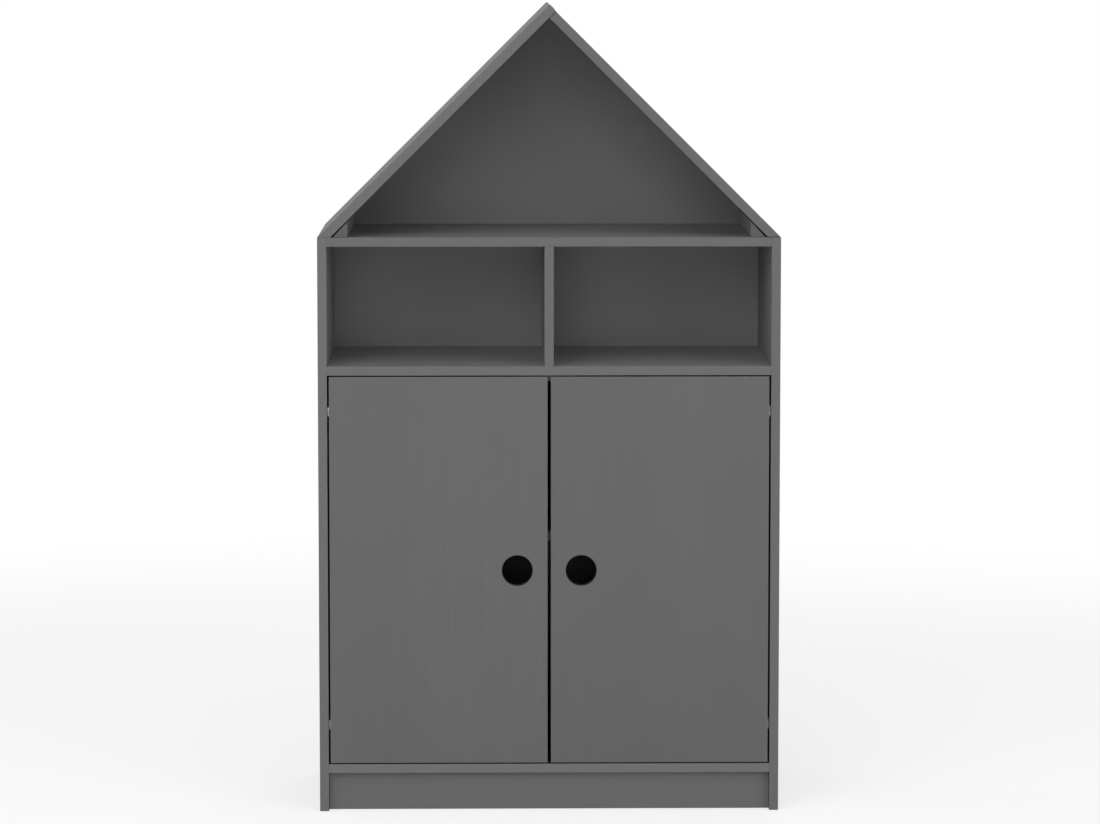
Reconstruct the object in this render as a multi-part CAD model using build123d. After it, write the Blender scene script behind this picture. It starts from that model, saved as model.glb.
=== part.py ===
from build123d import *
import os
from math import cos, radians, sin, tan

# House-shaped storage cabinet for a child's room, in millimetres.
# +Z is up and the front faces -Y. The origin is on the floor, at the middle of the footprint.

# Boards
WIDTH = 760.0
CARCASS_DEPTH = 347.0
BOARD = 15.0
EASE = 0.8
ROOF_PITCH = 45.0
RIDGE_BULGE = 1.2
RIDGE_EASE = 1.5
RIGHT_FOOT_GAP = 0.9

# Heights between the boards
PLINTH_HEIGHT = 64.0
OPENING_HEIGHT = 647.0
CUBBY_HEIGHT = 197.0

# Plinth
PLINTH_SETBACK = 15.0
PLINTH_LIFT = 0.5
RAIL_DOWEL_SPACING = 32.0

# Eave cleats
CLEAT_LEG = 24.0
CLEAT_RISE = 26.0
CLEAT_GAP = 4.2
CLEAT_LIFT = 0.3
CLEAT_SETBACK = 2.0
CLEAT_SCREW_INSET = 8.0

# Back sheets
BACK_THICKNESS = 3.0
BACK_MARGIN = 3.0
BACK_JOINT = 0.5

# Doors
DOOR_THICKNESS = 15.0
DOOR_SIDE_GAP = 3.0
DOOR_MIDDLE_GAP = 5.5
DOOR_END_GAP = 2.0
FINGER_HOLE_RADIUS = 25.0
FINGER_HOLE_INSET = 50.0
FINGER_HOLE_EASE = 1.5

# Inner shelf and its supports
SHELF_HEIGHT = 368.5
SHELF_THICKNESS = 15.0
SHELF_SETBACK = 20.0
SHELF_SIDE_GAP = 1.0
SHELF_BACK_GAP = 2.0
SUPPORT_RADIUS = 2.5
SUPPORT_DEPTH = 9.0
SUPPORT_REACH = 12.0
SUPPORT_WIDTH = 10.0
SUPPORT_PLATE = 2.0
SUPPORT_INSET = 45.0

# Door stop with its magnets
STOP_LENGTH = 90.0
STOP_DEPTH = 18.0
STOP_HEIGHT = 11.0
STOP_GAP = 0.4
STOP_SCREW_OFFSET = 15.0
MAGNET_RADIUS = 3.0
MAGNET_DEPTH = 4.0
MAGNET_OFFSET = 30.0
MAGNET_RISE = 4.0
STRIKE_RADIUS = 4.0
STRIKE_THICKNESS = 1.2

# Hinges: one pin each, in a cup let into the door
HINGE_INSET = 60.0
PIN_RADIUS = 1.25
PIN_HALF_LENGTH = 10.2
PIN_FROM_EDGE = 10.2
CUP_RADIUS = 13.0
CUP_DEPTH = 11.5
CUP_FLOOR = 1.0
CUP_TAB = 3.0
CUP_POCKET = 8.0
SLOT_HALF_HEIGHT = 6.6
SLOT_SKIN = 5.0
FLANGE = 1.0
FLANGE_LIP = 1.5
WING_REACH = 24.0
WING_HALF_WIDTH = 6.0
WING_SCREW_REACH = 18.5
WING_CORNER = 4.8
EYE_RADIUS = 2.7
ARM_THICKNESS = 2.5
ARM_HALF_HEIGHT = 6.0
CRANK_DEPTH = 19.5
LEAF_LENGTH = 46.0
LEAF_HALF_HEIGHT = 10.0
LEAF_CORNER = 4.0
LEAF_SCREW_FIRST = 14.0
LEAF_SCREW_PITCH = 20.0

# Dowels
DOWEL_RADIUS = 4.0
DOWEL_LENGTH = 30.0
DOWEL_IN_FACE = 10.0
DOWEL_CHAMFER = 0.8

# Cam fittings
CAM_RADIUS = 7.5
CAM_DEPTH = 12.5
CAM_FROM_END = 34.0
CAM_SLOT_LENGTH = 8.0
CAM_SLOT_WIDTH = 1.2
CAM_SLOT_DEPTH = 1.2
CAM_MOUTH_INSET = 1.0
BOLT_RADIUS = 3.0
BOLT_HEAD_RADIUS = 3.6
BOLT_HEAD = 2.5
BOLT_THREAD_RADIUS = 2.5
BOLT_IN_FACE = 11.0
BOLT_BORE_RADIUS = 4.0
CAM_FROM_EDGE = 50.0
DOWEL_FROM_CAM = 32.0

# Screws: head radius, shank radius, length
HINGE_SCREW = (3.5, 1.6, 13.0)
CUP_SCREW = (3.0, 1.4, 11.0)
ROOF_SCREW = (4.0, 2.0, 30.0)
CLEAT_SCREW = (3.5, 1.75, 30.0)
STOP_SCREW = (3.0, 1.5, 22.0)
STRIKE_SCREW = (2.0, 1.0, 9.0)
HEAD_RIM = 0.3
RECESS_WIDTH = 1.1
RECESS_DEPTH = 0.35
RECESS_BLADE = 0.22
SCREWS_PER_ROW = 3
ROW_MARGIN = 50.0
ROW_STAGGER = 25.0

# Back nails
NAIL_RADIUS = 0.7
NAIL_HEAD_RADIUS = 1.8
NAIL_HEAD = 0.6
NAIL_LENGTH = 18.0
NAIL_PITCH = 120.0
NAIL_EDGE = 4.0
NAIL_MARGIN = 60.0
ROOF_NAIL_MARGIN = 30.0

# Clearances
FIT = 0.05
HOLE_END = 0.5
TIP_GAP = 0.2

# Levels and planes that the driving sizes give
inner_x = WIDTH / 2 - BOARD
front_y = -(CARCASS_DEPTH + BACK_THICKNESS) / 2
rear_y = front_y + CARCASS_DEPTH
floor_z = PLINTH_HEIGHT + BOARD
lintel_z = floor_z + OPENING_HEIGHT
cubby_z = lintel_z + BOARD
ceiling_z = cubby_z + CUBBY_HEIGHT
eave_z = ceiling_z + BOARD
pitch = radians(ROOF_PITCH)
foot_width = BOARD / sin(pitch)
roof_inner_x = WIDTH / 2 - foot_width
cleat_foot_x = roof_inner_x - CLEAT_GAP
cleat_face_x = cleat_foot_x - CLEAT_LEG
cleat_low = eave_z + CLEAT_LIFT
ridge_z = eave_z + WIDTH / 2 * tan(pitch)
ridge_inner_z = eave_z + roof_inner_x * tan(pitch)
door_width = inner_x - DOOR_SIDE_GAP - DOOR_MIDDLE_GAP / 2
door_height = OPENING_HEIGHT - 2 * DOOR_END_GAP
door_low = floor_z + DOOR_END_GAP
door_edge_x = -inner_x + DOOR_SIDE_GAP
door_back_y = front_y + DOOR_THICKNESS
pin_x = door_edge_x + PIN_FROM_EDGE
pin_y = front_y + DOOR_THICKNESS / 2
cup_x = door_edge_x + CUP_TAB + CUP_RADIUS
hinge_levels = (door_low + HINGE_INSET, door_low + door_height - HINGE_INSET)
catch_z = lintel_z - STOP_HEIGHT + MAGNET_RISE

LEFT, RIGHT = -1, 1
OUTWARD = {LEFT: (-1, 0, 0), RIGHT: (1, 0, 0)}


def block(x, y, z, ease=0.0):
    """A box between two limits on each axis, with its edges eased."""
    low, high = (x[0], y[0], z[0]), (x[1], y[1], z[1])
    size = [b - a for a, b in zip(low, high)]
    middle = [(a + b) / 2 for a, b in zip(low, high)]
    solid = Pos(*middle) * Box(*size)
    return fillet(solid.edges(), ease) if ease else solid


def rod(start, axis, radius, length):
    """A cylinder that starts at a point and runs along an axis."""
    place = Plane(origin=start, z_dir=axis)
    return place * Cylinder(radius, length, align=(Align.CENTER, Align.CENTER, Align.MIN))


def around(middle, size):
    """Two limits a size apart about a middle."""
    return (middle - size / 2, middle + size / 2)


def along(start, axis, distance):
    """The point a distance along a direction."""
    return tuple(Vector(*start) + Vector(*axis).normalized() * distance)


def prism(points, y=None, ease=0.0):
    """An XZ outline extruded through the depth of the carcass."""
    solid = extruded(Polyline(*points, close=True), y or (front_y, rear_y))
    return fillet(solid.edges(), ease) if ease else solid


def extruded(outline, y):
    """A closed line in XZ extruded between two depths."""
    face = Plane(origin=(0, y[1], 0), x_dir=(1, 0, 0), z_dir=(0, -1, 0))
    return extrude(face * make_face(outline), amount=y[1] - y[0])


def screw_shape(head, axis, size, grow=0.0, tip_gap=0.0):
    """A countersunk screw whose head is flush at a point, or its hole when grown."""
    head_radius, shank_radius, length = size
    taper = head_radius - shank_radius
    place = Plane(origin=head, z_dir=axis)
    top, neck, tip = head_radius + grow, shank_radius + grow, length + tip_gap
    rim = [(0, 0), (top, 0), (top, HEAD_RIM), (neck, HEAD_RIM + taper)]
    outline = Polyline(*rim, (neck, tip - neck), (0, tip), close=True)
    solid = revolve(Plane.XZ * make_face(outline), Axis.Z)
    return place * solid


def screw(head, axis, size):
    """A countersunk screw with a cross recess."""
    width, thickness, depth = (size[0] * share for share in (RECESS_WIDTH, RECESS_BLADE, RECESS_DEPTH))
    blade = Box(width, thickness, depth, align=(Align.CENTER, Align.CENTER, Align.MIN))
    recess = Plane(origin=head, z_dir=axis) * (blade + Rot(0, 0, 90) * blade)
    return screw_shape(head, axis, size) - recess


def screw_hole(head, axis, size):
    return screw_shape(head, axis, size, FIT, TIP_GAP)


def dowel(middle, axis, seat):
    """A fluteless dowel that reaches the seat depth into the board past its middle point."""
    start = along(middle, axis, seat - DOWEL_LENGTH)
    solid = rod(start, axis, DOWEL_RADIUS, DOWEL_LENGTH)
    return chamfer(solid.edges().filter_by(GeomType.CIRCLE), DOWEL_CHAMFER)


def dowel_hole(middle, axis, seat):
    start = along(middle, axis, seat - DOWEL_LENGTH - HOLE_END)
    return rod(start, axis, DOWEL_RADIUS + FIT, DOWEL_LENGTH + 2 * HOLE_END)


def row(count, margin=ROW_MARGIN, shift=0.0):
    """Evenly spaced depths along the carcass."""
    first, last = front_y + margin + shift, rear_y - margin + shift
    step = (last - first) / (count - 1)
    return [first + step * i for i in range(count)]


def spread(first, last, pitch_length):
    """Evenly spaced positions between two limits, about a pitch apart."""
    count = max(2, round((last - first) / pitch_length) + 1)
    return [first + (last - first) * i / (count - 1) for i in range(count)]


# Where boards meet the side panels: cam fittings and dowels

def board_levels():
    return [z + BOARD / 2 for z in (PLINTH_HEIGHT, lintel_z, ceiling_z)]


def cam_depths():
    return (front_y + CAM_FROM_EDGE, rear_y - CAM_FROM_EDGE)


def board_dowel_depths():
    return (front_y + CAM_FROM_EDGE + DOWEL_FROM_CAM, rear_y - CAM_FROM_EDGE - DOWEL_FROM_CAM)


def cam(side, y, z):
    """A cam housing bored from below, with a cavity for the head of its bolt."""
    x = side * (inner_x - CAM_FROM_END)
    low = z - BOARD / 2
    body = rod((x, y, low), (0, 0, 1), CAM_RADIUS - FIT, CAM_DEPTH - FIT)
    mouth_start = along((x, y, z), OUTWARD[side], CAM_MOUTH_INSET)
    mouth = rod(mouth_start, OUTWARD[side], BOLT_RADIUS + HOLE_END, CAM_RADIUS)
    room = 2 * (BOLT_HEAD_RADIUS + HOLE_END)
    cavity = block(around(x, CAM_RADIUS), around(y, room), around(z, room))
    slot = block(around(x, CAM_SLOT_LENGTH), around(y, CAM_SLOT_WIDTH), (low, low + CAM_SLOT_DEPTH))
    return body - mouth - cavity - slot


def cam_bolt(side, y, z):
    """A bolt screwed into the side panel, with its head inside the cam."""
    face = (side * inner_x, y, z)
    inward = (-side, 0, 0)
    thread = rod(face, OUTWARD[side], BOLT_THREAD_RADIUS, BOLT_IN_FACE)
    shaft = rod(face, inward, BOLT_RADIUS, CAM_FROM_END)
    head = rod(along(face, inward, CAM_FROM_END - BOLT_HEAD), inward, BOLT_HEAD_RADIUS, BOLT_HEAD)
    return thread + shaft + head


def cam_bores(side, y, z):
    """What a cam fitting cuts from a board."""
    x = side * (inner_x - CAM_FROM_END)
    well = rod((x, y, z - BOARD / 2), (0, 0, 1), CAM_RADIUS, CAM_DEPTH)
    return well + rod((side * inner_x, y, z), (-side, 0, 0), BOLT_BORE_RADIUS, CAM_FROM_END)


def each_cam():
    return [(side, y, z) for side in (LEFT, RIGHT) for y in cam_depths() for z in board_levels()]


def side_dowels(side):
    """Dowels between a side panel and the boards and rails: point, axis and depth in the panel."""
    x = side * inner_x
    boards = [(x, y, z) for y in board_dowel_depths() for z in board_levels()]
    rails = [(x, y + BOARD / 2, z) for y in rail_planes() for z in rail_dowel_levels()]
    return [(point, OUTWARD[side], DOWEL_IN_FACE) for point in boards + rails]


def rail_planes():
    return (front_y + PLINTH_SETBACK, rear_y - BOARD)


def rail_dowel_levels():
    return around((PLINTH_LIFT + PLINTH_HEIGHT) / 2, RAIL_DOWEL_SPACING)


def divider_dowels():
    up = [((0, y, ceiling_z), (0, 0, 1), DOWEL_IN_FACE) for y in board_dowel_depths()]
    down = [((0, y, cubby_z), (0, 0, -1), DOWEL_IN_FACE) for y in board_dowel_depths()]
    return up + down


def all_dowels():
    return side_dowels(LEFT) + side_dowels(RIGHT) + divider_dowels()


# Roof and eaves

def slope(side):
    """Unit vector up a roof board, and the one out of its top face."""
    up = (-side * cos(pitch), 0, sin(pitch))
    out = (side * sin(pitch), 0, cos(pitch))
    return up, out


def roof_screw_points(side):
    """Screws through a roof board into the middle of its cleat's slope."""
    x, z = (cleat_foot_x + cleat_face_x) / 2, cleat_low + CLEAT_RISE / 2
    cover = (eave_z + (WIDTH / 2 - x) * tan(pitch) - z) * cos(pitch)
    return [along((side * x, y, z), slope(side)[1], cover) for y in row(SCREWS_PER_ROW)]


def ridge_screw_points():
    """Screws through the lapping board into the end of the other one."""
    start = along((0, 0, ridge_z), slope(LEFT)[0], -BOARD / 2)
    return [(start[0], y, start[2]) for y in row(SCREWS_PER_ROW)]


def cleat_screw_points(side):
    x = side * (cleat_face_x + CLEAT_SCREW_INSET)
    return [(x, y, ceiling_z) for y in row(SCREWS_PER_ROW, shift=ROW_STAGGER)]


def roof_cutters(side):
    inward = tuple(-v for v in slope(side)[1])
    return [screw_hole(p, inward, ROOF_SCREW) for p in roof_screw_points(side)]


def ridge_cutters():
    inward = tuple(-v for v in slope(LEFT)[1])
    return [screw_hole(p, inward, ROOF_SCREW) for p in ridge_screw_points()]


def cleat_cutters(side):
    return [screw_hole(p, (0, 0, 1), CLEAT_SCREW) for p in cleat_screw_points(side)]


def lap_point():
    """Where the end of the lapping board meets the top face of the other one."""
    lap = BOARD / sin(2 * pitch)
    return (lap * cos(pitch), ridge_z - lap * sin(pitch))


def eased_roof_board(solid, count, ease):
    """Eases the highest long edges of a roof board, then its rims at the front and the back."""
    ridge = solid.edges().filter_by(Axis.Y).sort_by(Axis.Z)[-count:]
    solid = fillet(ridge, ease)
    rims = [edge for edge in solid.edges() if edge.bounding_box().size.Y < FIT]
    return fillet(rims, EASE)


def make_roof_board_left():
    """The lapping board, with a slightly rounded end at the ridge."""
    apex, lap = (0, ridge_z), lap_point()
    middle = ((apex[0] + lap[0]) / 2, (apex[1] + lap[1]) / 2)
    crown = (middle[0] + RIDGE_BULGE * sin(pitch), middle[1] + RIDGE_BULGE * cos(pitch))
    sides = Polyline(lap, (-roof_inner_x, eave_z), (-WIDTH / 2, eave_z), apex)
    solid = extruded(sides + ThreePointArc(apex, crown, lap), (front_y, rear_y))
    return cut(eased_roof_board(solid, 2, RIDGE_EASE), roof_cutters(LEFT) + ridge_cutters() + nail_holes())


def make_roof_board_right():
    foot_z = eave_z + RIGHT_FOOT_GAP
    trim = RIGHT_FOOT_GAP / tan(pitch)
    outline = [lap_point(), (WIDTH / 2 - trim, foot_z), (roof_inner_x - trim, foot_z), (0, ridge_inner_z)]
    solid = eased_roof_board(prism(outline), 1, EASE)
    return cut(solid, roof_cutters(RIGHT) + ridge_cutters() + nail_holes())


def make_cleat(side):
    foot, face = side * cleat_foot_x, side * cleat_face_x
    outline = [(foot, cleat_low), (face, cleat_low), (face, cleat_low + CLEAT_RISE)]
    solid = prism(outline, (front_y + CLEAT_SETBACK, rear_y), EASE)
    return cut(solid, roof_cutters(side) + cleat_cutters(side))


# Back sheets and their nails

def nail_points():
    """Places of the back nails as (x, z)."""
    edge = inner_x + BOARD / 2
    split = ceiling_z + BOARD / 2
    walls = [(s * edge, z) for s in (LEFT, RIGHT) for z in spread(PLINTH_HEIGHT, ceiling_z, NAIL_PITCH)]
    across = spread(-inner_x + NAIL_MARGIN, inner_x - NAIL_MARGIN, NAIL_PITCH)
    rows = [(x, z) for x in across for z in cross_nail_levels(split)]
    drop = BOARD / 2 / cos(pitch)
    slopes = [(WIDTH / 2 - t, eave_z + t * tan(pitch) - drop) for t in roof_nail_steps()]
    return walls + rows + [(s * x, z) for s in (LEFT, RIGHT) for x, z in slopes]


def cross_nail_levels(split):
    return (PLINTH_HEIGHT + BOARD / 2, lintel_z + BOARD / 2, split - NAIL_EDGE, split + NAIL_EDGE)


def roof_nail_steps():
    return spread(ROOF_NAIL_MARGIN, WIDTH / 2 - ROOF_NAIL_MARGIN, NAIL_PITCH)


def nail(x, z, grow=0.0, tip_gap=0.0):
    head = (x, rear_y + BACK_THICKNESS, z)
    shank = rod(head, (0, -1, 0), NAIL_RADIUS + grow, NAIL_LENGTH + tip_gap)
    return shank + rod(head, (0, -1, 0), NAIL_HEAD_RADIUS + grow, NAIL_HEAD)


def nail_holes():
    return [nail(x, z, FIT, TIP_GAP) for x, z in nail_points()]


def make_back_sheet():
    split = ceiling_z + BOARD / 2
    half = WIDTH / 2 - BACK_MARGIN
    y = (rear_y, rear_y + BACK_THICKNESS)
    sheet = block((-half, half), y, (BACK_MARGIN, split - BACK_JOINT / 2))
    return cut(sheet, nail_holes())


def make_gable_sheet():
    split = ceiling_z + BOARD / 2
    half = WIDTH / 2 - BACK_MARGIN
    y = (rear_y, rear_y + BACK_THICKNESS)
    low = split + BACK_JOINT / 2
    margin = BACK_MARGIN / cos(pitch)
    shoulder = eave_z - margin + BACK_MARGIN * tan(pitch)
    outline = [(-half, low), (half, low), (half, shoulder), (0, ridge_z - margin), (-half, shoulder)]
    return cut(prism(outline, y), nail_holes())


# Carcass boards

def cut(solid, tools):
    """Takes from a solid the tools whose boxes meet its own."""
    box = solid.bounding_box()
    near = [t for t in tools if meets(box, t.bounding_box())]
    return solid - near if near else solid


def meets(a, b):
    pairs = zip(tuple(a.min), tuple(a.max), tuple(b.min), tuple(b.max))
    return all(low_a <= high_b and low_b <= high_a for low_a, high_a, low_b, high_b in pairs)


def joint_cutters():
    """Holes for the dowels, cams and bolts of the whole carcass."""
    dowels = [dowel_hole(*d) for d in all_dowels()]
    threads = BOLT_THREAD_RADIUS + FIT, BOLT_IN_FACE + FIT
    bolts = [rod((s * inner_x, y, z), OUTWARD[s], *threads) for s, y, z in each_cam()]
    return dowels + bolts


def board_cutters():
    return [dowel_hole(*d) for d in all_dowels()] + [cam_bores(*c) for c in each_cam()]


def make_side_panel(side):
    x = sorted((side * inner_x, side * WIDTH / 2))
    solid = block(x, (front_y, rear_y), (0, eave_z), EASE)
    leaf_holes = [screw_hole(p, (side, 0, 0), HINGE_SCREW) for p in leaf_screw_points(side)]
    supports = [support_stem(side, y, FIT) for y in support_depths()]
    return cut(solid, joint_cutters() + leaf_holes + supports + nail_holes())


def make_cross_board(low, extra=()):
    solid = block((-inner_x, inner_x), (front_y, rear_y), (low, low + BOARD), EASE)
    return cut(solid, board_cutters() + nail_holes() + list(extra))


def make_divider():
    solid = block((-BOARD / 2, BOARD / 2), (front_y, rear_y), (cubby_z, ceiling_z), EASE)
    return cut(solid, [dowel_hole(*d) for d in divider_dowels()])


def make_rail(plane):
    solid = block((-inner_x, inner_x), (plane, plane + BOARD), (PLINTH_LIFT, PLINTH_HEIGHT), EASE)
    return cut(solid, board_cutters() + nail_holes())


# Inner shelf

def support_depths():
    first = front_y + DOOR_THICKNESS + SHELF_SETBACK
    return (first + SUPPORT_INSET, rear_y - SHELF_BACK_GAP - SUPPORT_INSET)


def shelf_low():
    return floor_z + SHELF_HEIGHT


def support_stem(side, y, grow=0.0):
    z = shelf_low() - SUPPORT_RADIUS
    return rod((side * inner_x, y, z), OUTWARD[side], SUPPORT_RADIUS + grow, SUPPORT_DEPTH + grow)


def shelf_support(side, y):
    """A stem in the side panel with a flat tongue under the shelf."""
    top = shelf_low()
    tongue = block(
        sorted((side * inner_x, side * (inner_x - SUPPORT_REACH))),
        (y - SUPPORT_WIDTH / 2, y + SUPPORT_WIDTH / 2),
        (top - SUPPORT_PLATE, top),
    )
    heel = block(
        sorted((side * inner_x, side * (inner_x - SUPPORT_PLATE))),
        (y - SUPPORT_WIDTH / 2, y + SUPPORT_WIDTH / 2),
        (top - SUPPORT_WIDTH, top),
    )
    return tongue + heel + support_stem(side, y)


def make_inner_shelf():
    half = inner_x - SHELF_SIDE_GAP
    near = front_y + DOOR_THICKNESS + SHELF_SETBACK
    z = (shelf_low(), shelf_low() + SHELF_THICKNESS)
    return block((-half, half), (near, rear_y - SHELF_BACK_GAP), z, EASE)


# Door stop and magnets

def stop_face_y():
    return door_back_y + STOP_GAP


def magnet_places():
    return [(s * MAGNET_OFFSET, stop_face_y(), catch_z) for s in (LEFT, RIGHT)]


def stop_screw_points():
    y = stop_face_y() + STOP_DEPTH / 2
    return [(s * STOP_SCREW_OFFSET, y, lintel_z - STOP_HEIGHT) for s in (LEFT, RIGHT)]


def stop_screw_holes():
    return [screw_hole(p, (0, 0, 1), STOP_SCREW) for p in stop_screw_points()]


def make_door_stop():
    y = (stop_face_y(), stop_face_y() + STOP_DEPTH)
    solid = block((-STOP_LENGTH / 2, STOP_LENGTH / 2), y, (lintel_z - STOP_HEIGHT, lintel_z), EASE)
    wells = [rod(p, (0, 1, 0), MAGNET_RADIUS + FIT, MAGNET_DEPTH) for p in magnet_places()]
    return cut(solid, wells + stop_screw_holes())


def strike_place(side):
    return (side * MAGNET_OFFSET, door_back_y, catch_z)


def make_strike(side):
    plate = rod(strike_place(side), (0, -1, 0), STRIKE_RADIUS, STRIKE_THICKNESS)
    return cut(plate, [screw_hole(strike_place(side), (0, -1, 0), STRIKE_SCREW)])


# Hinges, drawn for the left door and mirrored for the right one

def leaf_screw_points(side):
    x = side * (inner_x - ARM_THICKNESS)
    first = front_y + CRANK_DEPTH + LEAF_SCREW_FIRST
    return [(x, y, z) for y in (first, first + LEAF_SCREW_PITCH) for z in hinge_levels]


def slot_block(level, x_high, y_low, y_high):
    x = (door_edge_x - 1, x_high)
    return block(x, (y_low, y_high), (level - SLOT_HALF_HEIGHT, level + SLOT_HALF_HEIGHT))


def cup_body(level, grow=0.0):
    start = (cup_x, door_back_y, level)
    return rod(start, (0, -1, 0), CUP_RADIUS + grow, CUP_DEPTH + grow)


def cup_screw_points(level):
    x = cup_x + WING_HALF_WIDTH / 2
    return [(x, door_back_y + FLANGE, level + s * WING_SCREW_REACH) for s in (LEFT, RIGHT)]


def make_cup(level):
    """A cup with a flange, a pocket for the arm's eye and bores for the pin."""
    flange = rod((cup_x, door_back_y, level), (0, 1, 0), CUP_RADIUS + FLANGE_LIP, FLANGE)
    x = cup_x + WING_HALF_WIDTH / 2
    wing = block(
        (x - WING_HALF_WIDTH, x + WING_HALF_WIDTH),
        (door_back_y, door_back_y + FLANGE),
        (level - WING_REACH, level + WING_REACH),
    )
    wing = fillet(wing.edges().filter_by(Axis.Y), WING_CORNER)
    floor_y = door_back_y - CUP_DEPTH + CUP_FLOOR
    pocket = slot_block(level, cup_x + CUP_POCKET, floor_y, door_back_y + 2 * FLANGE)
    start = (pin_x, pin_y, level - PIN_HALF_LENGTH)
    bore = rod(start, (0, 0, 1), PIN_RADIUS + FIT / 2, 2 * PIN_HALF_LENGTH)
    holes = [screw_hole(p, (0, -1, 0), CUP_SCREW) for p in cup_screw_points(level)]
    return cut(cup_body(level) + flange + wing, [edge_keep(level), pocket, bore] + holes)


def edge_keep(level):
    """Takes the flange off where it would pass the edge of the door."""
    return block(
        (door_edge_x - CUP_RADIUS, door_edge_x + CUP_TAB / 2),
        (door_back_y, door_back_y + 2 * FLANGE),
        (level - CUP_RADIUS, level + CUP_RADIUS),
    )


def make_pin(level):
    start = (pin_x, pin_y, level - PIN_HALF_LENGTH + FIT)
    return rod(start, (0, 0, 1), PIN_RADIUS, 2 * (PIN_HALF_LENGTH - FIT))


def make_arm(level):
    """A cranked arm with an eye on the pin and a leaf on the side panel."""
    near, far = pin_x - ARM_THICKNESS / 2, pin_x + ARM_THICKNESS / 2
    crank_y = front_y + CRANK_DEPTH
    low, high = level - ARM_HALF_HEIGHT, level + ARM_HALF_HEIGHT
    strip = block((near, far), (pin_y, crank_y + ARM_THICKNESS), (low, high))
    crank = block((-inner_x, far), (crank_y, crank_y + ARM_THICKNESS), (low, high))
    corner = (strip + crank).edges().filter_by(Axis.Z)
    bend = [e for e in corner if e.center().Y > crank_y - FIT and e.center().X > near - FIT]
    neck = fillet(bend, ARM_THICKNESS / 2)
    eye = rod((pin_x, pin_y, low), (0, 0, 1), EYE_RADIUS, 2 * ARM_HALF_HEIGHT)
    leaf = block(
        (-inner_x, -inner_x + ARM_THICKNESS),
        (crank_y, crank_y + LEAF_LENGTH),
        (level - LEAF_HALF_HEIGHT, level + LEAF_HALF_HEIGHT),
    )
    leaf = fillet(leaf.edges().filter_by(Axis.X), LEAF_CORNER)
    bore = rod((pin_x, pin_y, low), (0, 0, 1), PIN_RADIUS + FIT, 2 * ARM_HALF_HEIGHT)
    holes = [screw_hole(p, (-1, 0, 0), HINGE_SCREW) for p in leaf_screw_points(LEFT)]
    return cut(neck + eye + leaf, [bore] + holes)


# Doors

def make_left_door():
    x = (door_edge_x, door_edge_x + door_width)
    solid = block(x, (front_y, door_back_y), (door_low, door_low + door_height), EASE)
    centre = (x[1] - FINGER_HOLE_INSET, front_y - 1, door_low + door_height / 2)
    solid = solid - rod(centre, (0, 1, 0), FINGER_HOLE_RADIUS, DOOR_THICKNESS + 2)
    circles = solid.edges().filter_by(GeomType.CIRCLE)
    rims = [edge for edge in circles if abs(edge.radius - FINGER_HOLE_RADIUS) < FIT]
    solid = fillet(rims, FINGER_HOLE_EASE)
    return cut(solid, door_cutters())


def door_cutters():
    cups = [cup_body(z, FIT) for z in hinge_levels]
    slots = [slot_block(z, cup_x, front_y + SLOT_SKIN, door_back_y + 1) for z in hinge_levels]
    screws = [screw_hole(p, (0, -1, 0), CUP_SCREW) for z in hinge_levels for p in cup_screw_points(z)]
    place = strike_place(LEFT)
    strike = rod(along(place, (0, 1, 0), 1), (0, -1, 0), STRIKE_RADIUS + FIT, STRIKE_THICKNESS + 1)
    return cups + slots + screws + [strike, screw_hole(place, (0, -1, 0), STRIKE_SCREW)]


def mirrored(solid):
    return mirror(solid, about=Plane.YZ)


def group(solids):
    return Compound(children=list(solids))


def fastener_nodes():
    roof_in = {s: tuple(-v for v in slope(s)[1]) for s in (LEFT, RIGHT)}
    roof = [screw(p, roof_in[s], ROOF_SCREW) for s in (LEFT, RIGHT) for p in roof_screw_points(s)]
    cup_screws = [screw(p, (0, -1, 0), CUP_SCREW) for z in hinge_levels for p in cup_screw_points(z)]
    leaf_screws = [screw(p, (s, 0, 0), HINGE_SCREW) for s in (LEFT, RIGHT) for p in leaf_screw_points(s)]
    cleat = [screw(p, (0, 0, 1), CLEAT_SCREW) for s in (LEFT, RIGHT) for p in cleat_screw_points(s)]
    return {
        "carcass_dowels": [dowel(*d) for d in all_dowels()],
        "cam_locks": [cam(*c) for c in each_cam()],
        "cam_bolts": [cam_bolt(*c) for c in each_cam()],
        "roof_screws": roof + [screw(p, roof_in[LEFT], ROOF_SCREW) for p in ridge_screw_points()],
        "cleat_screws": cleat,
        "back_nails": [nail(x, z) for x, z in nail_points()],
        "stop_screws": [screw(p, (0, 0, 1), STOP_SCREW) for p in stop_screw_points()],
        "stop_magnets": [rod(p, (0, 1, 0), MAGNET_RADIUS, MAGNET_DEPTH) for p in magnet_places()],
        "shelf_supports": [shelf_support(s, y) for s in (LEFT, RIGHT) for y in support_depths()],
        "hinge_arm_screws": leaf_screws,
        "left_cup_screws": cup_screws,
        "right_cup_screws": [mirrored(s) for s in cup_screws],
    }


def carcass_nodes():
    front_rail, rear_rail = rail_planes()
    return {
        "side_panel_left": make_side_panel(LEFT),
        "side_panel_right": make_side_panel(RIGHT),
        "bottom_board": make_cross_board(PLINTH_HEIGHT),
        "middle_board": make_cross_board(lintel_z, stop_screw_holes()),
        "top_board": make_cross_board(ceiling_z, cleat_cutters(LEFT) + cleat_cutters(RIGHT)),
        "centre_divider": make_divider(),
        "plinth_front": make_rail(front_rail),
        "plinth_rear": make_rail(rear_rail),
        "roof_board_left": make_roof_board_left(),
        "roof_board_right": make_roof_board_right(),
        "eave_cleat_left": make_cleat(LEFT),
        "eave_cleat_right": make_cleat(RIGHT),
        "back_sheet": make_back_sheet(),
        "gable_sheet": make_gable_sheet(),
        "inner_shelf": make_inner_shelf(),
        "door_stop": make_door_stop(),
    }


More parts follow.
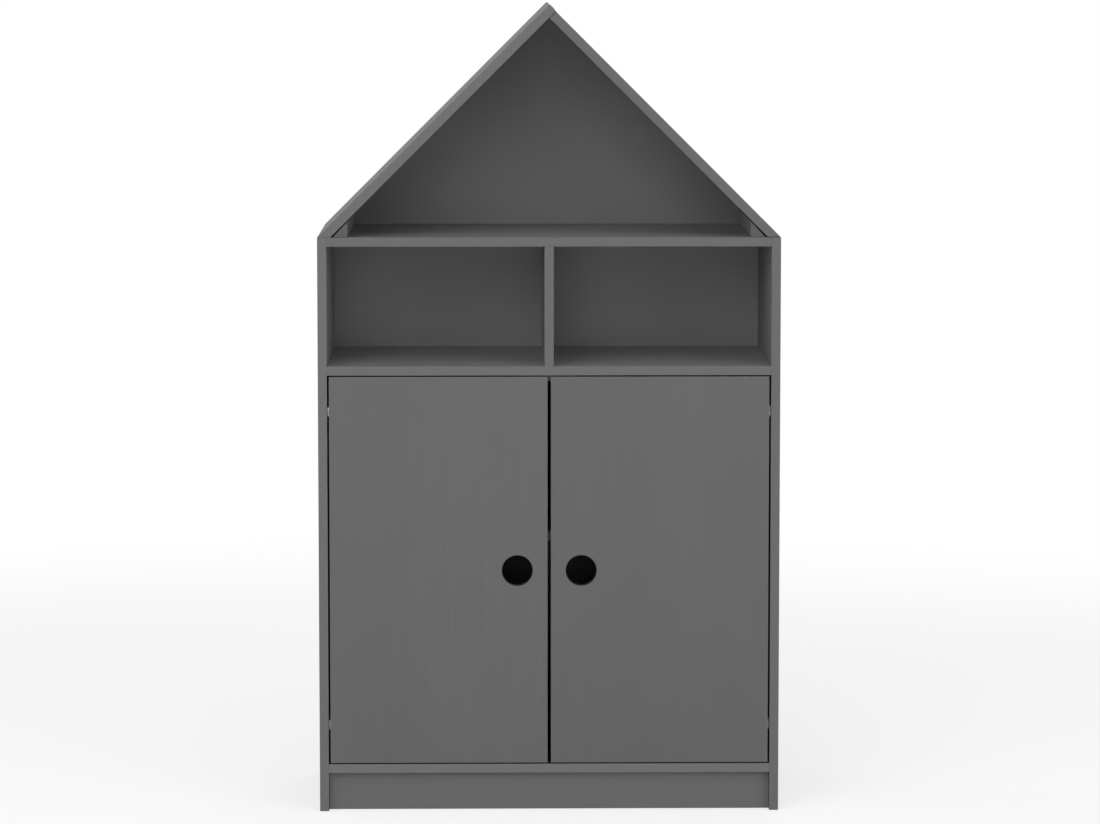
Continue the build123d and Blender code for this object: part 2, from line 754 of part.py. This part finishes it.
def door_nodes():
    left = {"door": make_left_door()}
    for name, level in zip(("lower", "upper"), hinge_levels):
        left[f"{name}_hinge_cup"] = make_cup(level)
        left[f"{name}_hinge_pin"] = make_pin(level)
        left[f"{name}_hinge_arm"] = make_arm(level)
    left["strike_plate"] = make_strike(LEFT)
    left["strike_screw"] = screw(strike_place(LEFT), (0, -1, 0), STRIKE_SCREW)
    nodes = {f"left_{name}": solid for name, solid in left.items()}
    return nodes | {f"right_{name}": mirrored(solid) for name, solid in left.items()}


def main():
    os.makedirs("parts", exist_ok=True)
    nodes = carcass_nodes() | door_nodes()
    nodes |= {name: group(solids) for name, solids in fastener_nodes().items()}
    for name, shape in nodes.items():
        export_step(shape, f"parts/{name}.step")


main()
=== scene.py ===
import math

import bpy
import numpy as np
from mathutils import Euler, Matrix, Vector

# House-shaped cabinet in satin grey paint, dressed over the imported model. Metres, front towards -Y.
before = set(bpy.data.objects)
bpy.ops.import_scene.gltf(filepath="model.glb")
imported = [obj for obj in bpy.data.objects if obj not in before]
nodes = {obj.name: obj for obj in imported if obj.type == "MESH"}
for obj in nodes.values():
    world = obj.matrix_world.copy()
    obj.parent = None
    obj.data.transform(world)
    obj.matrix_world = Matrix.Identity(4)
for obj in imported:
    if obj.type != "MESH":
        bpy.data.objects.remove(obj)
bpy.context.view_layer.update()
print("loaded", len(nodes), "nodes")


class Wire:
    # one socket of a material; arithmetic on it adds Math nodes
    def __init__(self, shade, socket):
        self.shade, self.socket = shade, socket

    def maths(self, operation, *values):
        return self.shade.node("ShaderNodeMath", {"operation": operation}, dict(enumerate(values)))

    def __add__(self, other):
        return self.maths("ADD", self, other)

    def __sub__(self, other):
        return self.maths("SUBTRACT", self, other)

    def __rsub__(self, other):
        return self.maths("SUBTRACT", other, self)

    def __mul__(self, other):
        return self.maths("MULTIPLY", self, other)

    def __truediv__(self, other):
        return self.maths("DIVIDE", self, other)

    def __pow__(self, other):
        return self.maths("POWER", self, other)

    def __abs__(self):
        return self.maths("ABSOLUTE", self)

    __radd__, __rmul__ = __add__, __mul__

    def least(self, other):
        return self.maths("MINIMUM", self, other)

    def most(self, other):
        return self.maths("MAXIMUM", self, other)

    def whole(self):
        return self.maths("FLOOR", self)

    def wave(self):
        return self.maths("SINE", self)

    def rise(self, low, high):  # 0 at low, 1 at high, smooth between; low may be above high
        inputs = {"Value": self, "From Min": low, "From Max": high}
        return self.shade.node("ShaderNodeMapRange", {"interpolation_type": "SMOOTHSTEP"}, inputs)


class Shade:
    # one material or world: node() adds a node from its type, its settings and what its sockets hold
    def __init__(self, name, kinds=bpy.data.materials):
        self.material = kinds.new(name)
        self.material.use_nodes = True
        self.tree = self.material.node_tree
        self.tree.nodes.clear()

    def node(self, kind, settings=None, inputs=None, output=0):
        made = self.tree.nodes.new(kind)
        for key, value in (settings or {}).items():
            setattr(made, key, value)
        for key, value in (inputs or {}).items():
            if isinstance(value, Wire):
                self.tree.links.new(value.socket, made.inputs[key])
            else:
                made.inputs[key].default_value = value
        if isinstance(output, tuple):
            return [Wire(self, made.outputs[i]) for i in output]
        return Wire(self, made.outputs[output]) if made.outputs else None

    def place(self, turn=(0, 0, 0), shift=(0, 0, 0)):
        # the piece's own coordinates, turned so that its grain runs along Z
        spot = self.node("ShaderNodeTexCoord", output=3)
        return self.node("ShaderNodeMapping", {}, {"Vector": spot, "Rotation": turn, "Location": shift})

    def split(self, vector):
        return self.node("ShaderNodeSeparateXYZ", {}, {0: vector}, (0, 1, 2))

    def stretch(self, vector, sizes):
        # one unit of the pattern is this size along each axis
        scale = tuple(1 / size for size in sizes)
        return self.node("ShaderNodeVectorMath", {"operation": "MULTIPLY"}, {0: vector, 1: scale})

    def noise(self, vector, sizes, detail=2.0, roughness=0.5, warp=0.0):
        inputs = {"Vector": self.stretch(vector, sizes), "Scale": 1.0}
        inputs |= {"Detail": detail, "Roughness": roughness, "Distortion": warp}
        return self.node("ShaderNodeTexNoise", {}, inputs)

    def cells(self, vector, sizes):
        inputs = {"Vector": self.stretch(vector, sizes), "Scale": 1.0}
        return self.node("ShaderNodeTexVoronoi", {}, inputs)

    def blend(self, factor, first, second):
        return self.node("ShaderNodeMix", {"data_type": "RGBA"}, {0: factor, 6: first, 7: second}, 2)

    def relief(self, height, depth):
        # depth is the height in metres of a full step of the pattern
        return self.node("ShaderNodeBump", {}, {"Strength": 1.0, "Distance": depth, "Height": height})

    def surface(self, sockets):
        shader = self.node("ShaderNodeBsdfPrincipled", {}, sockets)
        self.node("ShaderNodeOutputMaterial", {}, {"Surface": shader})
        return self.material


def colour(red, green, blue):
    return (red, green, blue, 1.0)


def finishNode(name, material):
    for slot in nodes[name].material_slots:
        slot.material = material


# How far each point lies from the nearest arris of a box: the middle one of its three face distances
def arrisDistance(coordinates, low, high):
    sides = []
    for value, first, last in zip(coordinates, low, high):
        sides.append((last - first) / 2 - abs(value - (first + last) / 2))
    a, b, c = sides
    return a.least(b).most(a.most(b).least(c))


# The limits of a node in turned coordinates
def turnedLimits(name, turn):
    points = np.empty(len(nodes[name].data.vertices) * 3)
    nodes[name].data.vertices.foreach_get("co", points)
    turned = points.reshape(-1, 3) @ np.array(Euler(turn).to_matrix()).T
    return turned.min(axis=0), turned.max(axis=0)


# Painted boards: satin grey over glued pine, with the grain just showing through.
# The tones are matched to the photo piece by piece. The real cabinet probably has one paint all over.
boardPaint = {
    "deep": colour(0.121, 0.121, 0.1215),
    "pale": colour(0.145, 0.145, 0.1455),
    "edgeCoat": colour(0.143, 0.143, 0.1435),
    "innerDeep": colour(0.215, 0.215, 0.2155),  # open shelves: paler, standing in for bounced light
    "innerPale": colour(0.247, 0.247, 0.2475),
    "behindShade": colour(0.065, 0.065, 0.0653),  # behind the closed doors: darker, a painted shade for the dark gaps
    "seam": colour(0.03, 0.03, 0.03),  # the ridge joint, drawn as a line
    "seamDepth": (0.002, 0.0012),
    "frontPlane": -0.175,
    "frontDepth": (0.0012, 0.0004),
    "outerSkin": 0.371,  # from the middle to inside the side panels' outer faces
    "skinBlur": 0.0005,
    "shelfFloor": (0.735, 0.736),
    "floorFade": (-0.16, 0.15),
    "bottomBoardTop": (0.075, 0.078),
    "wornArris": colour(0.2, 0.2, 0.201),
    "wornReach": (0.0019, 0.0004),
    "wornPatch": (0.006, 0.006, 0.03),
    "wornShare": 0.45,
    "roughness": 0.6,
    "specular": 0.35,
    "streak": (0.0035, 0.0035, 0.19),
    "pore": (0.0006, 0.0006, 0.012),
    "sway": (0.09, 0.09, 0.6),
    "swayBy": 0.012,
    "mottle": (0.11, 0.11, 0.16),
    "stave": 0.052,
    "stipple": (0.0011, 0.0011, 0.0011),
    "relief": 0.00005,
}

grainTurns = {
    "up": (0, 0, 0),
    "across": (0, -math.pi / 2, 0),
    "leftSlope": (0, -math.pi / 4, 0),
    "rightSlope": (0, math.pi / 4, 0),
    "back": (math.pi / 2, 0, 0),
}

# the way each board's grain runs, how pale its front edge is, and how far back that edge lies; the edge tones
# carry painted light and shade: deeper on the right and on the set-back cleats, paler on the bottom board and
# on the shelf and stop inside the doors
boards = {
    "side_panel_left": ("up", 1.0, 0.0),
    "side_panel_right": ("up", 0.94, 0.0),
    "centre_divider": ("up", 0.92, 0.0),
    "top_board": ("across", 0.93, 0.0),
    "middle_board": ("across", 0.95, 0.0),
    "bottom_board": ("across", 1.12, 0.0),
    "plinth_front": ("across", 0.99, 0.02),
    "plinth_rear": ("across", 1.0, 0.0),
    "inner_shelf": ("across", 1.4, 0.05),
    "door_stop": ("across", 1.4, 0.05),
    "roof_board_left": ("leftSlope", 0.98, 0.0),
    "roof_board_right": ("rightSlope", 0.86, 0.0),
    "eave_cleat_left": ("back", 0.62, 0.003),
    "eave_cleat_right": ("back", 0.62, 0.003),
}

openBoards = ["side_panel_left", "side_panel_right", "centre_divider", "top_board", "middle_board",
              "eave_cleat_left", "eave_cleat_right"]
# shelf floors: paler still towards the back, again for bounced light
floorBoards = {"top_board": colour(0.3, 0.3, 0.301), "middle_board": colour(0.34, 0.34, 0.341)}
hiddenBoards = ["side_panel_left", "side_panel_right", "middle_board", "bottom_board"]


def paintCoat(shade, grain, seed, paint, name):
    # what every painted piece shares: streaks and pores along Z, staves side by side, and the roller's stipple
    turn = grainTurns[grain]
    shift = tuple(seed * step for step in (0.37, 0.61, 0.83))
    level = shade.place(turn)
    spot = shade.place(turn, shift)
    x, y, z = shade.split(level)
    low, high = turnedLimits(name, turn)
    sway = shade.noise(spot, paint["sway"], 1.0) * paint["swayBy"]
    swayStep = shade.node("ShaderNodeCombineXYZ", {}, {"X": sway, "Y": sway})
    swayed = shade.node("ShaderNodeVectorMath", {"operation": "ADD"}, {0: spot, 1: swayStep})
    streak = shade.noise(swayed, paint["streak"], 4.0, 0.6)
    pore = shade.noise(swayed, paint["pore"], 2.0, 0.6).rise(0.58, 0.72)
    wide = x if high[0] - low[0] > high[1] - low[1] else y
    lane = (wide / paint["stave"] + seed * 7.3).whole()
    stave = shade.node("ShaderNodeTexWhiteNoise", {"noise_dimensions": "1D"}, {"W": lane})
    mottle = shade.noise(spot, paint["mottle"], 2.0)
    stipple = shade.noise(spot, paint["stipple"], 2.0, 0.55)
    arris = arrisDistance((x, y, z), low, high)
    worn = arris.rise(*paint["wornReach"]) * shade.noise(spot, paint["wornPatch"], 3.0).rise(0.35, 0.7)
    tone = 0.5 + (streak - 0.5) * 0.9 + (mottle - 0.5) * 0.7 + (stave - 0.5) * 0.16 - pore * 0.18
    satin = paint["roughness"] + (stipple - 0.5) * 0.1 + (mottle - 0.5) * 0.12
    satin = satin + pore * 0.1 - worn * 0.08
    height = streak * 0.5 - pore * 0.5 + stipple * 0.35
    return spot, (x, y, z), tone, worn, satin, height


def paintSurface(shade, paint, coat, satin, height):
    return shade.surface({
        "Base Color": coat,
        "Roughness": satin,
        "Normal": shade.relief(height, paint["relief"]),
        "Specular IOR Level": paint["specular"],
    })


def paintedBoard(name, grain, edge, setBack, seed):
    shade = Shade("paint " + name.replace("_", " "))
    paint = boardPaint
    spot, turned, tone, worn, satin, height = paintCoat(shade, grain, seed, paint, name)
    x, y, z = shade.split(shade.place())
    plane = paint["frontPlane"] + setBack
    first, last = paint["frontDepth"]
    front = y.rise(plane + first, plane + last)
    coat = shade.blend(tone, paint["deep"], paint["pale"])
    within = abs(x).rise(paint["outerSkin"] + paint["skinBlur"], paint["outerSkin"] - paint["skinBlur"])
    above = z.rise(*paint["shelfFloor"])
    if name in openBoards:
        inner = shade.blend(tone, paint["innerDeep"], paint["innerPale"])
        if name in floorBoards:
            inner = shade.blend(y.rise(*paint["floorFade"]), inner, floorBoards[name])
        coat = shade.blend(within * above, coat, inner)
    # the faces behind the closed doors get a painted shade
    if name in hiddenBoards:
        hidden = within * (1 - above)
        if name == "bottom_board":
            hidden = hidden * z.rise(*paint["bottomBoardTop"])
        coat = shade.blend(hidden, coat, paint["behindShade"])
    # front edges take the paler edge coat, times each board's factor of painted light and shade
    coat = shade.blend(front, coat, colour(*(level * edge for level in paint["edgeCoat"][:3])))
    if name == "roof_board_right":
        ridge = turnedLimits(name, grainTurns[grain])[1][2]
        first, last = paint["seamDepth"]
        coat = shade.blend(turned[2].rise(ridge - first, ridge - last), coat, paint["seam"])
    coat = shade.blend(worn * paint["wornShare"], coat, paint["wornArris"])
    return paintSurface(shade, paint, coat, satin, height)


for seed, (name, (grain, edge, setBack)) in enumerate(boards.items(), 1):
    finishNode(name, paintedBoard(name, grain, edge, setBack, seed))
print("painted", len(boards), "boards")


# Doors: the same paint a shade deeper, and darker in the finger hole and on the narrow sides, as painted shade
doorPaint = boardPaint | {
    "deep": colour(0.112, 0.112, 0.112),
    "pale": colour(0.134, 0.134, 0.134),
    "holeShade": colour(0.02, 0.02, 0.02),
    "gapShade": colour(0.02, 0.02, 0.02),
    "gapRim": (0.0006, 0.0003),
    "gapDepth": (0.0012, 0.002),
    "hole": (0.05275, 0.4025),
    "holeRadius": 0.025,
    "holeBlur": (0.0009, 0.0003),
    "touchReach": (0.07, 0.028),
    "touchPatch": (0.02, 0.02, 0.025),
    "wornShare": 0.4,
    "streak": (0.0042, 0.0042, 0.26),
}


def paintedDoor(name, side, seed, paint):
    shade = Shade("paint " + name.replace("_", " "))
    spot, (x, y, z), tone, worn, satin, height = paintCoat(shade, "up", seed, paint, name)
    radius = ((x - side * paint["hole"][0]) ** 2 + (z - paint["hole"][1]) ** 2) ** 0.5
    first, last = paint["holeBlur"]
    inside = radius.rise(paint["holeRadius"] + first, paint["holeRadius"] + last)
    touched = radius.rise(*paint["touchReach"]) * shade.noise(spot, paint["touchPatch"], 3.0).rise(0.4, 0.7)
    coat = shade.blend(tone, paint["deep"], paint["pale"])
    coat = shade.blend(worn * paint["wornShare"], coat, paint["wornArris"])
    # painted shade on the narrow sides, for the dark gaps, and in the finger hole
    low, high = turnedLimits(name, grainTurns["up"])
    (left, front, foot), (right, _, head) = low.tolist(), high.tolist()
    rim = (x - left).least(right - x).least((z - foot).least(head - z))
    first, last = paint["gapDepth"]
    edge = rim.rise(*paint["gapRim"]) * y.rise(front + first, front + last)
    coat = shade.blend(edge, coat, paint["gapShade"])
    coat = shade.blend(inside, coat, paint["holeShade"])
    return paintSurface(shade, paint, coat, satin - touched * 0.06 + inside * 0.3, height)


# the right door is a trace cooler in the photo: painted light, a cooler and deeper coat for the cool light on
# that side
coolLitPaint = doorPaint | {"deep": colour(0.11, 0.1093, 0.1123), "pale": colour(0.1315, 0.1307, 0.1343)}
finishNode("left_door", paintedDoor("left_door", -1, 21, doorPaint))
finishNode("right_door", paintedDoor("right_door", 1, 23, coolLitPaint))
print("painted the doors")


# Back sheets: hardboard, painted grey towards the shelves and left brown behind
backSheet = {
    "grey": colour(0.167, 0.167, 0.168),
    "greyPale": colour(0.189, 0.189, 0.19),
    "greyLow": colour(0.235, 0.235, 0.236),  # paler at each shelf's floor, for bounced light
    "floors": (0.741, 0.953),
    "lowBand": 0.2,
    "lowFoot": (0.012, 0.008),
    "lowShare": 0.8,
    "greyEavesShade": colour(0.132, 0.132, 0.1325),  # darker under the roof: painted shade, as in the photo
    "apex": 1.315,
    "eavesBand": 0.12,
    "eavesShare": 0.85,
    "greyBehindShade": colour(0.07, 0.07, 0.0705),  # behind the doors: darker, a painted shade
    "behindTop": (0.735, 0.733),
    "brown": colour(0.17, 0.095, 0.048),
    "brownPale": colour(0.26, 0.16, 0.088),
    "fibre": (0.0006, 0.0006, 0.0035),
    "crossed": (0.003, 0.003, 0.0007),
    "fleck": (0.002, 0.002, 0.002),
    "cloud": (0.14, 0.14, 0.1),
    "bundle": (0.009, 0.009, 0.004),
    "screen": 0.0017,  # pitch of the wire screen pressed into the bare side
    "barePlane": (0.1722, 0.1725),
    "relief": 0.00009,
}


def hardboard(name, seed):
    shade = Shade("hardboard " + name.replace("_", " "))
    sheet = backSheet
    spot = shade.place((0, 0, 0), (seed, seed * 0.7, seed * 0.3))
    x, y, z = shade.split(shade.place())
    bare = y.rise(*sheet["barePlane"])
    fibre = shade.noise(spot, sheet["fibre"], 4.0, 0.7, 0.6)
    crossed = shade.noise(spot, sheet["crossed"], 4.0, 0.7, 0.6)
    fleck = shade.noise(spot, sheet["fleck"], 3.0, 0.6).rise(0.55, 0.75)
    cloud = shade.noise(spot, sheet["cloud"], 2.0)
    bundle = shade.noise(spot, sheet["bundle"], 3.0, 0.65, 0.8)
    turns = 2 * math.pi / sheet["screen"]
    screen = (x * turns).wave() * (z * turns).wave()
    pulp = fibre * 0.6 + crossed * 0.4 + (cloud - 0.5) * 0.6 + (bundle - 0.5) * 0.9 + screen * 0.05 - 0.2
    brown = shade.blend(pulp, sheet["brown"], sheet["brownPale"])
    brown = shade.blend(fleck * 0.35, brown, sheet["brown"])
    grey = shade.blend(fibre * 0.3 + cloud * 0.7, sheet["grey"], sheet["greyPale"])
    first, last = sheet["lowFoot"]
    for level in sheet["floors"]:
        low = z.rise(level + sheet["lowBand"], level) * z.rise(level - first, level - last)
        grey = shade.blend(low * sheet["lowShare"], grey, sheet["greyLow"])
    # painted shade where the sheet meets the roof
    under = (sheet["apex"] - z - abs(x)) * math.sqrt(0.5)
    eaves = under.rise(sheet["eavesBand"], 0.0) * sheet["eavesShare"]
    grey = shade.blend(eaves, grey, sheet["greyEavesShade"])
    # painted shade behind the doors
    grey = shade.blend(z.rise(*sheet["behindTop"]), grey, sheet["greyBehindShade"])
    return shade.surface({
        "Base Color": shade.blend(bare, grey, brown),
        "Roughness": 0.55 + bare * 0.2 + (fibre - 0.5) * 0.15,
        "Normal": shade.relief(
            fibre * 0.5 + crossed * 0.5 + fleck * 0.3 + screen * bare * 0.5, sheet["relief"]),
        "Specular IOR Level": 0.4,
    })


for seed, name in enumerate(("back_sheet", "gable_sheet"), 3):
    finishNode(name, hardboard(name, seed))
print("finished the back")


# Steel, zinc and nickel: pressed and turned parts, with a drawn or tumbled surface
metals = {
    "nickel": {
        "tone": colour(0.46, 0.452, 0.435), "dull": colour(0.28, 0.275, 0.265), "roughness": 0.38,
        "line": (0.0002, 0.0002, 0.006), "spot": 0.004, "relief": 0.000012,
    },
    "zinc": {
        "tone": colour(0.6, 0.615, 0.64), "dull": colour(0.4, 0.405, 0.41), "roughness": 0.34,
        "line": (0.0003, 0.0003, 0.0009), "spot": 0.0025, "relief": 0.000015,
    },
    "dieCast": {
        "tone": colour(0.5, 0.5, 0.51), "dull": colour(0.3, 0.3, 0.31), "roughness": 0.5,
        "line": (0.0005, 0.0005, 0.0005), "spot": 0.003, "relief": 0.00004,
    },
    "blackScrew": {
        "tone": colour(0.075, 0.075, 0.08), "dull": colour(0.03, 0.03, 0.032), "roughness": 0.42,
        "line": (0.0004, 0.0004, 0.0004), "spot": 0.002, "relief": 0.00002,
    },
    "brightNail": {
        "tone": colour(0.52, 0.51, 0.5), "dull": colour(0.3, 0.29, 0.28), "roughness": 0.38,
        "line": (0.0003, 0.0003, 0.0003), "spot": 0.0015, "relief": 0.00002,
    },
}

metalPieces = {
    "nickel": ["lower_hinge_cup", "lower_hinge_arm", "lower_hinge_pin", "upper_hinge_cup",
               "upper_hinge_arm", "upper_hinge_pin", "strike_plate", "strike_screw", "cup_screws"],
    "zinc": ["hinge_arm_screws", "shelf_supports", "cleat_screws", "stop_screws", "cam_bolts"],
    "dieCast": ["cam_locks"],
    "blackScrew": ["roof_screws"],
    "brightNail": ["back_nails"],
}


hairScratch = (0.0016, 0.00005, 0.0016)


def metalFinish(kind):
    metal = metals[kind]
    shade = Shade(kind)
    spot = shade.place()
    line = shade.noise(spot, metal["line"], 3.0, 0.65)
    patch = shade.noise(spot, (metal["spot"],) * 3, 4.0, 0.6)
    scratch = shade.noise(spot, hairScratch, 2.0, 0.5, 0.4).rise(0.66, 0.74)
    dulled = (patch.rise(0.42, 0.7) * 0.5 + (line - 0.5) * 0.5).most(0.0)
    return shade.surface({
        "Base Color": shade.blend(dulled, metal["tone"], metal["dull"]),
        "Metallic": 1.0,
        "Roughness": metal["roughness"] + (line - 0.5) * 0.22 + (patch - 0.5) * 0.16 - scratch * 0.1,
        "Normal": shade.relief(line + scratch * 0.6, metal["relief"]),
    })


for kind, endings in metalPieces.items():
    material = metalFinish(kind)
    for name in nodes:
        if any(name == ending or name.endswith("_" + ending) for ending in endings):
            finishNode(name, material)
print("finished the fittings")


# Beech dowels: straight pale grain with short darker flecks
beech = {
    "pale": colour(0.62, 0.43, 0.25),
    "dark": colour(0.46, 0.28, 0.14),
    "fleck": colour(0.34, 0.19, 0.09),
    "grainSize": (0.0009, 0.0009, 0.02),
    "fleckSize": (0.0003, 0.0003, 0.0022),
    "relief": 0.00004,
}


def beechDowel():
    shade = Shade("beech")
    spot = shade.place(grainTurns["across"])
    grain = shade.noise(spot, beech["grainSize"], 4.0, 0.6)
    fleck = shade.noise(spot, beech["fleckSize"], 1.0).rise(0.66, 0.72)
    wood = shade.blend(grain, beech["pale"], beech["dark"])
    return shade.surface({
        "Base Color": shade.blend(fleck * 0.7, wood, beech["fleck"]),
        "Roughness": 0.62 + (grain - 0.5) * 0.15,
        "Normal": shade.relief(grain - fleck, beech["relief"]),
    })


# Ferrite magnets: dark sintered grains
ferrite = {
    "dark": colour(0.022, 0.022, 0.024),
    "grey": colour(0.055, 0.055, 0.058),
    "grain": (0.0004,) * 3,
    "cloud": (0.002,) * 3,
    "relief": 0.00002,
}


def ferriteFinish():
    shade = Shade("ferrite")
    grains = shade.cells(shade.place(), ferrite["grain"])
    cloud = shade.noise(shade.place(), ferrite["cloud"], 3.0)
    return shade.surface({
        "Base Color": shade.blend(grains * 0.5 + cloud * 0.5, ferrite["dark"], ferrite["grey"]),
        "Roughness": 0.48 + (cloud - 0.5) * 0.2,
        "Normal": shade.relief(grains, ferrite["relief"]),
    })


finishNode("carcass_dowels", beechDowel())
finishNode("stop_magnets", ferriteFinish())
print("finished dowels and magnets")


# Floor: rings of points, x = r cos a and y = r sin a
floorSheet = {
    "radius": 9.0,
    "rings": 24,
    "spokes": 96,
    "crowding": 1.5,  # more rings near the middle
    "plainFrom": 1.5,
    "plainTo": 3.2,
    "tone": 0.8,
    "seenTone": 0.45,
    "seenGlow": 0.66,
}


def floorMesh():
    rings, spokes = floorSheet["rings"], floorSheet["spokes"]
    radii = floorSheet["radius"] * np.linspace(0, 1, rings + 1)[1:] ** floorSheet["crowding"]
    angles = np.linspace(0, 2 * math.pi, spokes, endpoint=False)
    r, a = np.meshgrid(radii, angles, indexing="ij")
    points = np.stack([r * np.cos(a), r * np.sin(a), np.zeros_like(r)], axis=-1).reshape(-1, 3)
    points = np.vstack([[0, 0, 0], points])
    ring, spoke = np.meshgrid(np.arange(rings - 1), np.arange(spokes), indexing="ij")
    here = 1 + ring * spokes + spoke
    beside = 1 + ring * spokes + (spoke + 1) % spokes
    quads = np.stack([here, here + spokes, beside + spokes, beside], axis=-1)
    middle = [(0, 1 + i, 1 + (i + 1) % spokes) for i in range(spokes)]
    mesh = bpy.data.meshes.new("floor")
    mesh.from_pydata(points.tolist(), [], middle + quads.reshape(-1, 4).tolist())
    return mesh


def floorFinish():
    # seen directly it is pale with the object's shadow, and plain white further out
    shade = Shade("pale floor")
    x, y, z = shade.split(shade.place())
    far = (x * x + y * y).rise(floorSheet["plainFrom"] ** 2, floorSheet["plainTo"] ** 2)
    seen = shade.node("ShaderNodeLightPath", {}, {}, 0)
    matt, half = (shade.node("ShaderNodeBsdfDiffuse", {}, {"Color": colour(*(floorSheet[key],) * 3)})
                  for key in ("tone", "seenTone"))
    glow, plain = (shade.node("ShaderNodeEmission", {}, {"Color": colour(1, 1, 1), "Strength": strength})
                   for strength in (floorSheet["seenGlow"], 1.0))
    near = shade.node("ShaderNodeAddShader", {}, {0: half, 1: glow})
    white = shade.node("ShaderNodeMixShader", {}, {0: far, 1: near, 2: plain})
    both = shade.node("ShaderNodeMixShader", {}, {0: seen, 1: matt, 2: white})
    shade.node("ShaderNodeOutputMaterial", {}, {"Surface": both})
    return shade.material


floor = bpy.data.objects.new("floor", floorMesh())
floor.data.materials.append(floorFinish())
bpy.context.scene.collection.objects.link(floor)


# Room light: even and soft, white where it is seen
room = {"light": colour(1, 1, 1), "strength": 0.25}


def lightRoom():
    shade = Shade("room", bpy.data.worlds)
    camera, glossy, through = shade.node("ShaderNodeLightPath", {}, {}, (0, 3, 6))
    seen = camera.most(glossy).most(through)
    soft = shade.node("ShaderNodeBackground", {}, {"Color": room["light"], "Strength": room["strength"]})
    white = shade.node("ShaderNodeBackground", {}, {"Color": colour(1, 1, 1), "Strength": 1.0})
    mixed = shade.node("ShaderNodeMixShader", {}, {0: seen, 1: soft, 2: white})
    shade.node("ShaderNodeOutputWorld", {}, {"Surface": mixed})
    bpy.context.scene.world = shade.material


lightRoom()

# Soft boxes: two near the camera, one each side in front, a small low one, one above and two behind
lamps = {
    "key": {"at": (-2.4, -3.6, 2.7), "size": 2.2, "power": 35, "tint": (1.0, 1.0, 1.0)},
    "fill": {"at": (2.9, -3.3, 1.5), "size": 2.4, "power": 34, "tint": (0.97, 0.98, 1.0)},
    "frontHigh": {"at": (-1.2, -6.5, 3.2), "size": 2.5, "power": 52, "tint": (1.0, 1.0, 1.0)},
    "frontLow": {"at": (-0.5, -6.5, 0.6), "size": 2.0, "power": 24, "tint": (1.0, 1.0, 1.0)},
    "kick": {"at": (-0.1, -2.2, 0.25), "size": 1.0, "power": 6, "tint": (1.0, 1.0, 1.0)},
    "top": {"at": (0.0, -1.2, 3.5), "size": 2.6, "power": 24, "tint": (1.0, 1.0, 1.0)},
    "rear": {"at": (1.2, 3.9, 2.1), "size": 2.6, "power": 34, "tint": (1.0, 1.0, 1.0)},
    "rearLeft": {"at": (-3.9, 2.2, 2.1), "size": 2.4, "power": 16, "tint": (1.0, 1.0, 1.0)},
}
lampAim = Vector((0, 0, 0.65))


def addLamp(name, lamp):
    data = bpy.data.lights.new(name, "AREA")
    data.shape, data.size, data.energy, data.color = "SQUARE", lamp["size"], lamp["power"], lamp["tint"]
    made = bpy.data.objects.new(name, data)
    made.location = lamp["at"]
    made.rotation_euler = (lampAim - Vector(lamp["at"])).to_track_quat("-Z", "Y").to_euler()
    made.visible_camera = False
    bpy.context.scene.collection.objects.link(made)


for name, lamp in lamps.items():
    addLamp(name, lamp)
print("lit the room")


# Camera: a long lens a little left of the middle, looking slightly down
lens = {
    "at": (-0.0947, -6.8869, 1.4234), "down": 5.673, "right": 0.819,
    "focal": 134.5, "sensor": 36.0, "shift": -0.05, "farthest": 100,
}


def placeCamera():
    data = bpy.data.cameras.new("camera")
    data.lens, data.sensor_width, data.shift_y = lens["focal"], lens["sensor"], lens["shift"]
    data.clip_end = lens["farthest"]
    made = bpy.data.objects.new("camera", data)
    made.location = lens["at"]
    made.rotation_euler = (math.radians(90 - lens["down"]), 0, -math.radians(lens["right"]))
    bpy.context.scene.collection.objects.link(made)
    bpy.context.scene.camera = made


placeCamera()
bpy.context.scene.view_settings.view_transform = "Standard"
print("placed the camera")
